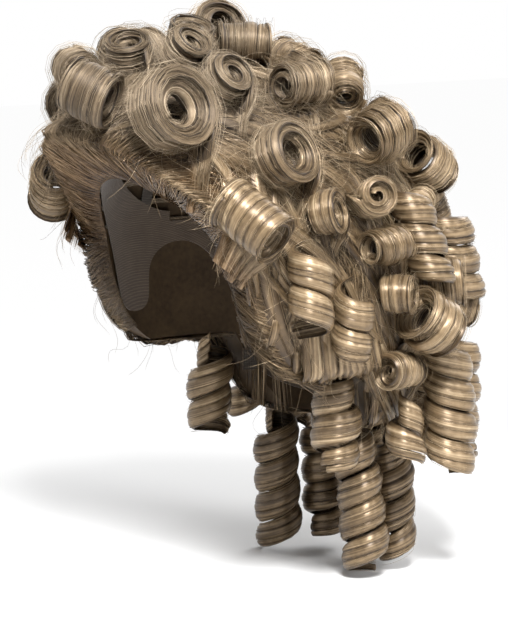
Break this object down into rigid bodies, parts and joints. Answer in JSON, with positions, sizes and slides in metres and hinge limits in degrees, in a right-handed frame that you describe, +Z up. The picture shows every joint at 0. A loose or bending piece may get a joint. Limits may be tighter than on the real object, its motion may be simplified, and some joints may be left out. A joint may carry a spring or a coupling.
{
  "type": "costume wig",
  "caption": "Costume wig with a raised front, set rolls over the head and hanging ringlets, on a stitched cap with nape adjusters.",
  "frame": {"origin": "centre of the head at its widest level, where the head holds the wig", "axes": "+Z up the head, the face towards -Y, the wearer's left towards +X"},
  "size_m": [0.267, 0.3075, 0.3568],
  "materials": {
    "hair_fibre": "satin",
    "band_cloth": "matte",
    "elastic": "matte",
    "net": "matte",
    "weft_thread": "matte",
    "hook_plastic": "matte",
    "stay_plastic": "matte"
  },
  "bodies": {
    "wig": {"back_barrels_inner": "hair_fibre", "back_barrels_outer": "hair_fibre", "back_fillers": "hair_fibre", "back_ringlet_centre": "hair_fibre", "back_ringlets_inner": "hair_fibre", "back_ringlets_outer": "hair_fibre", "back_roll_centre": "hair_fibre", "crown_fillers": "hair_fibre", "crown_loops_rear": "hair_fibre", "crown_loops_side": "hair_fibre", "crown_net": "net", "crown_roll_front": "hair_fibre", "crown_roll_left": "hair_fibre", "crown_roll_rear": "hair_fibre", "crown_roll_right": "hair_fibre", "crown_roll_top": "hair_fibre", "ear_bands": "band_cloth", "ear_ringlets": "hair_fibre", "ear_ringlets_rear": "hair_fibre", "ear_tab_stays": "stay_plastic", "ear_tabs": "band_cloth", "elastic_ribs": "elastic", "front_band": "band_cloth", "front_roll_centre": "hair_fibre", "front_roll_left": "hair_fibre", "front_roll_middle": "hair_fibre", "front_roll_right": "hair_fibre", "hair_back": "hair_fibre", "hair_crown": "hair_fibre", "hair_front": "hair_fibre", "hair_nape": "hair_fibre", "hair_sides": "hair_fibre", "hook_pockets": "band_cloth", "low_barrels": "hair_fibre", "nape_band": "band_cloth", "side_loops": "hair_fibre", "side_ring_curls": "hair_fibre", "side_ring_curls_small": "hair_fibre", "side_rolls": "hair_fibre", "strap_patches": "band_cloth", "temple_barrels": "hair_fibre", "weft_rows": "weft_thread"},
    "adjuster_left": {"adjuster_strap_left": "elastic", "strap_hook_left": "hook_plastic"},
    "adjuster_right": {"adjuster_strap_right": "elastic", "strap_hook_right": "hook_plastic"},
    "long_side_ringlet_left": {"long_side_ringlet_left": "hair_fibre"},
    "long_side_ringlet_right": {"long_side_ringlet_right": "hair_fibre"},
    "long_back_ringlet_left": {"long_back_ringlet_left": "hair_fibre"},
    "long_back_ringlet_right": {"long_back_ringlet_right": "hair_fibre"},
    "long_centre_ringlet": {"long_centre_ringlet": "hair_fibre"},
    "under_ringlet_left": {"under_ringlet_left": "hair_fibre"},
    "under_ringlet_right": {"under_ringlet_right": "hair_fibre"},
    "cheek_ringlet_left": {"cheek_ringlet_left": "hair_fibre"},
    "cheek_ringlet_right": {"cheek_ringlet_right": "hair_fibre"},
    "nape_front_ringlet_left": {"nape_front_ringlet_left": "hair_fibre"},
    "nape_front_ringlet_right": {"nape_front_ringlet_right": "hair_fibre"},
    "nape_rear_ringlet_left": {"nape_rear_ringlet_left": "hair_fibre"},
    "nape_rear_ringlet_right": {"nape_rear_ringlet_right": "hair_fibre"},
    "nape_centre_ringlet": {"nape_centre_ringlet": "hair_fibre"}
  },
  "joints": [
    {"name": "adjuster_hinge_left", "type": "hinge", "parent": "wig", "child": "adjuster_left", "pos_m": [0.04868, 0.03803, -0.078], "axis": [0.3838, 0.2999, 0.8734], "range_deg": [0, 60], "stiffness_Nm_per_rad": 0.0005},
    {"name": "adjuster_hinge_right", "type": "hinge", "parent": "wig", "child": "adjuster_right", "pos_m": [-0.04868, 0.03803, -0.078], "axis": [0.3838, -0.2999, -0.8734], "range_deg": [0, 60], "stiffness_Nm_per_rad": 0.0005},
    {"name": "long_side_swing_left", "type": "hinge", "parent": "wig", "child": "long_side_ringlet_left", "pos_m": [0.06732, 0.08866, -0.05144], "axis": [0.5217, -0.8531, 0], "range_deg": [0, 20], "stiffness_Nm_per_rad": 0.02},
    {"name": "long_side_swing_right", "type": "hinge", "parent": "wig", "child": "long_side_ringlet_right", "pos_m": [-0.06732, 0.08866, -0.05144], "axis": [0.5217, 0.8531, 0], "range_deg": [0, 20], "stiffness_Nm_per_rad": 0.02},
    {"name": "long_back_swing_left", "type": "hinge", "parent": "wig", "child": "long_back_ringlet_left", "pos_m": [0.03362, 0.12146, -0.05927], "axis": [0.859, -0.5119, 0], "range_deg": [0, 20], "stiffness_Nm_per_rad": 0.02},
    {"name": "long_back_swing_right", "type": "hinge", "parent": "wig", "child": "long_back_ringlet_right", "pos_m": [-0.03362, 0.12146, -0.05927], "axis": [0.859, 0.5119, 0], "range_deg": [0, 20], "stiffness_Nm_per_rad": 0.02},
    {"name": "long_centre_swing", "type": "hinge", "parent": "wig", "child": "long_centre_ringlet", "pos_m": [0, 0.1307, -0.06103], "axis": [1, 0, 0], "range_deg": [0, 20], "stiffness_Nm_per_rad": 0.02},
    {"name": "under_swing_left", "type": "hinge", "parent": "wig", "child": "under_ringlet_left", "pos_m": [0.07104, 0.05996, -0.08145], "axis": [0.3181, -0.948, 0], "range_deg": [0, 12], "stiffness_Nm_per_rad": 0.02},
    {"name": "under_swing_right", "type": "hinge", "parent": "wig", "child": "under_ringlet_right", "pos_m": [-0.07104, 0.05996, -0.08145], "axis": [0.3181, 0.948, 0], "range_deg": [0, 12], "stiffness_Nm_per_rad": 0.02},
    {"name": "cheek_swing_left", "type": "hinge", "parent": "wig", "child": "cheek_ringlet_left", "pos_m": [0.06855, 0.02495, -0.0653], "axis": [0.342, -0.9397, 0], "range_deg": [-4, 20], "stiffness_Nm_per_rad": 0.02},
    {"name": "cheek_swing_right", "type": "hinge", "parent": "wig", "child": "cheek_ringlet_right", "pos_m": [-0.06855, 0.02495, -0.0653], "axis": [0.342, 0.9397, 0], "range_deg": [-4, 20], "stiffness_Nm_per_rad": 0.02},
    {"name": "nape_front_swing_left", "type": "hinge", "parent": "wig", "child": "nape_front_ringlet_left", "pos_m": [0.04173, 0.05744, -0.1083], "axis": [-0.5878, -0.809, 0], "range_deg": [0, 14], "stiffness_Nm_per_rad": 0.02},
    {"name": "nape_front_swing_right", "type": "hinge", "parent": "wig", "child": "nape_front_ringlet_right", "pos_m": [-0.04173, 0.05744, -0.1083], "axis": [-0.5878, 0.809, 0], "range_deg": [0, 14], "stiffness_Nm_per_rad": 0.02},
    {"name": "nape_rear_swing_left", "type": "hinge", "parent": "wig", "child": "nape_rear_ringlet_left", "pos_m": [0.03564, 0.08822, -0.1083], "axis": [0.9272, -0.3746, 0], "range_deg": [-2, 15], "stiffness_Nm_per_rad": 0.02},
    {"name": "nape_rear_swing_right", "type": "hinge", "parent": "wig", "child": "nape_rear_ringlet_right", "pos_m": [-0.03564, 0.08822, -0.1083], "axis": [0.9272, 0.3746, 0], "range_deg": [-2, 15], "stiffness_Nm_per_rad": 0.02},
    {"name": "nape_centre_swing", "type": "hinge", "parent": "wig", "child": "nape_centre_ringlet", "pos_m": [0, 0.10243, -0.1083], "axis": [1, 0, 0], "range_deg": [-4, 15], "stiffness_Nm_per_rad": 0.02}
  ]
}
